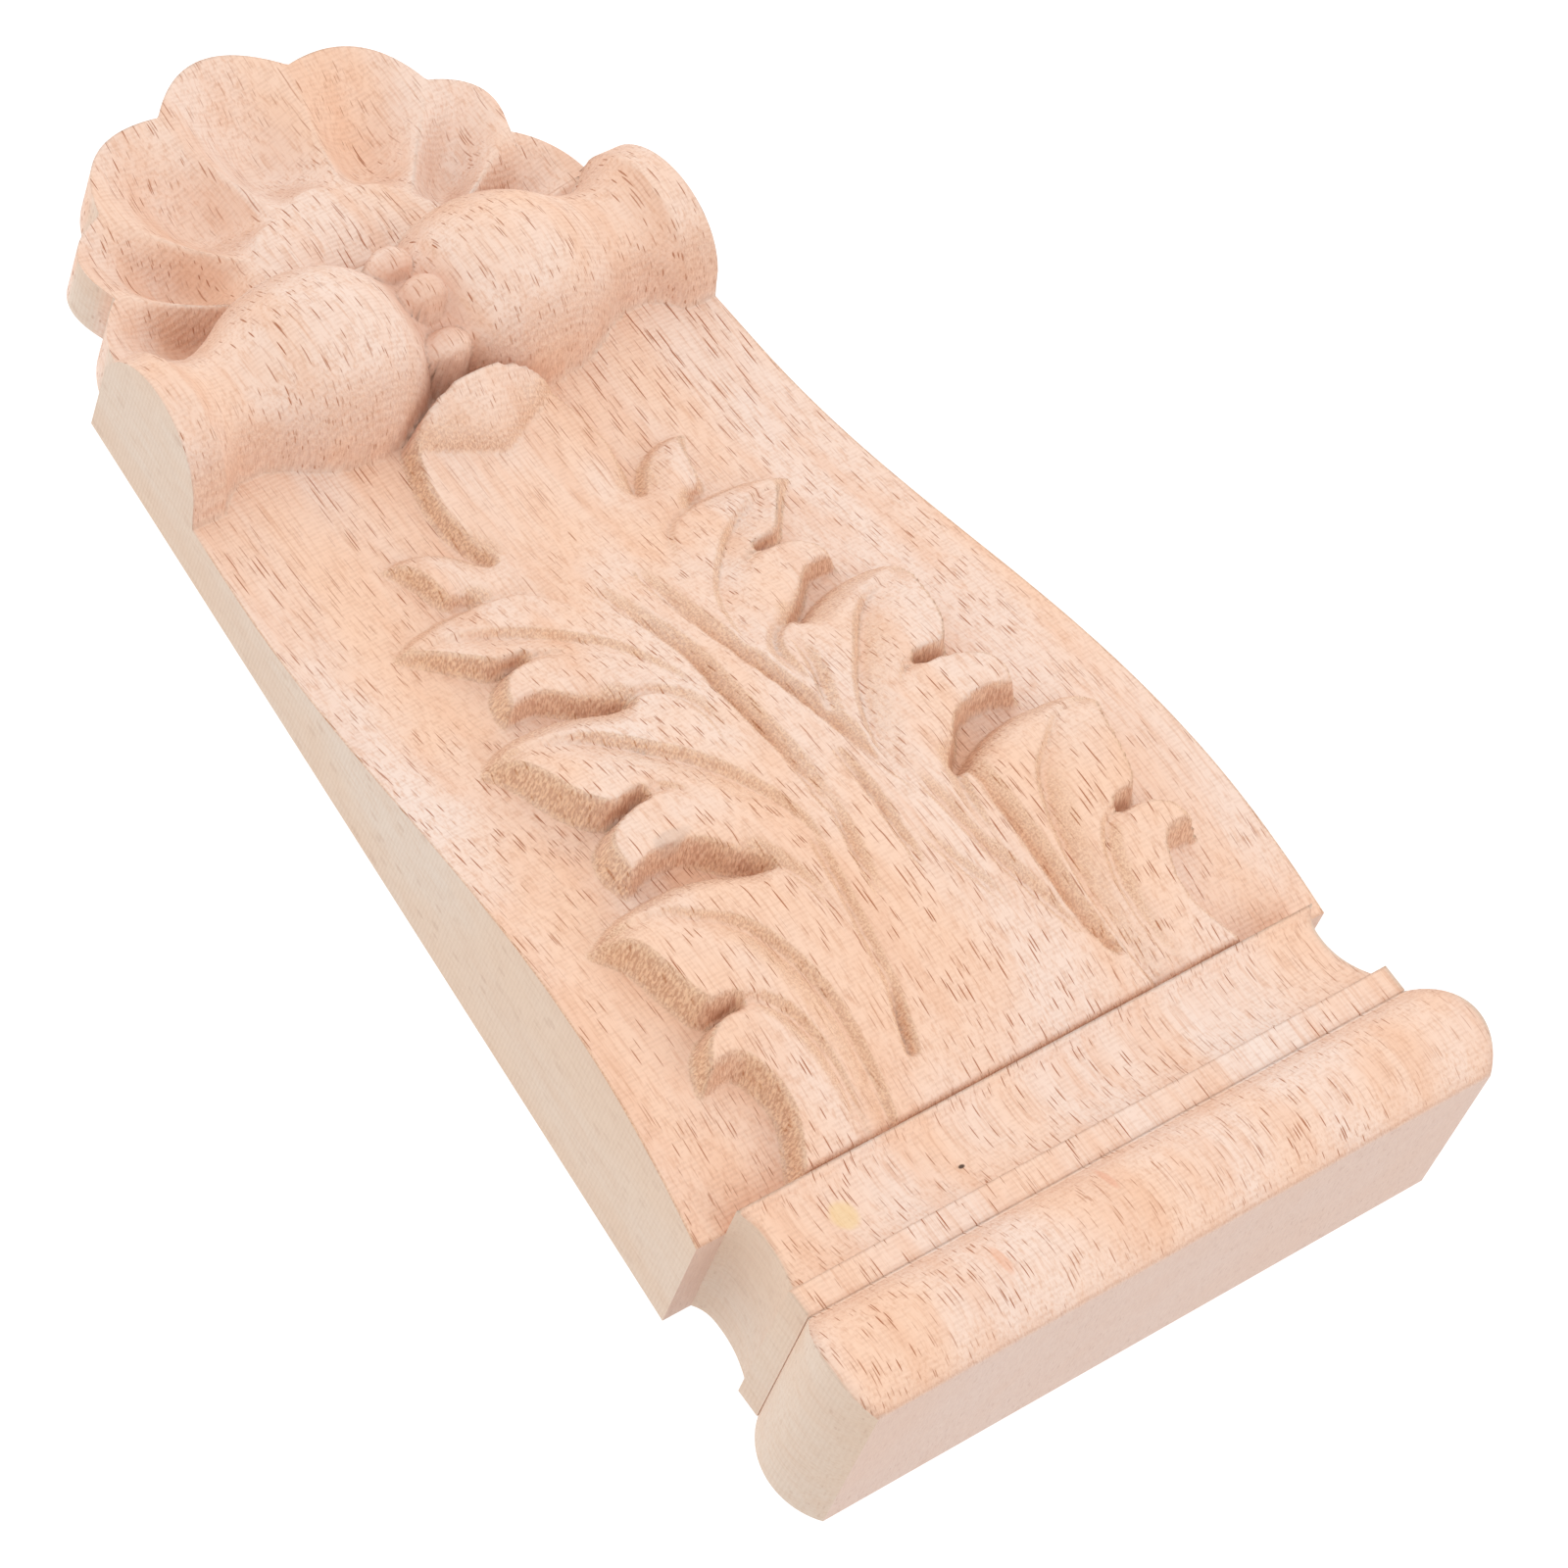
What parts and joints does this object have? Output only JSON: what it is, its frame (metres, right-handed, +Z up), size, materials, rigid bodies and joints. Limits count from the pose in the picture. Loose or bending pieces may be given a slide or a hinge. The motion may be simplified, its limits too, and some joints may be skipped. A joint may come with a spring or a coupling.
{
  "type": "wooden corbel",
  "caption": "Slim carved wooden corbel with a moulded top, a curling acanthus leaf, turned forms across it and a fluted shell below, flat at the back for fixing to a surface.",
  "frame": {"origin": "on the flat back, on the middle line, halfway between the top end and the lowest point of the shell", "axes": "+Z up, towards the moulded top end; the carved front faces -Y; +X to the right seen from the front"},
  "size_m": [0.0988, 0.0283, 0.205],
  "materials": {
    "wood": "bare sanded pale hardwood"
  },
  "bodies": {
    "root": {"corbel": "wood"}
  },
  "joints": []
}
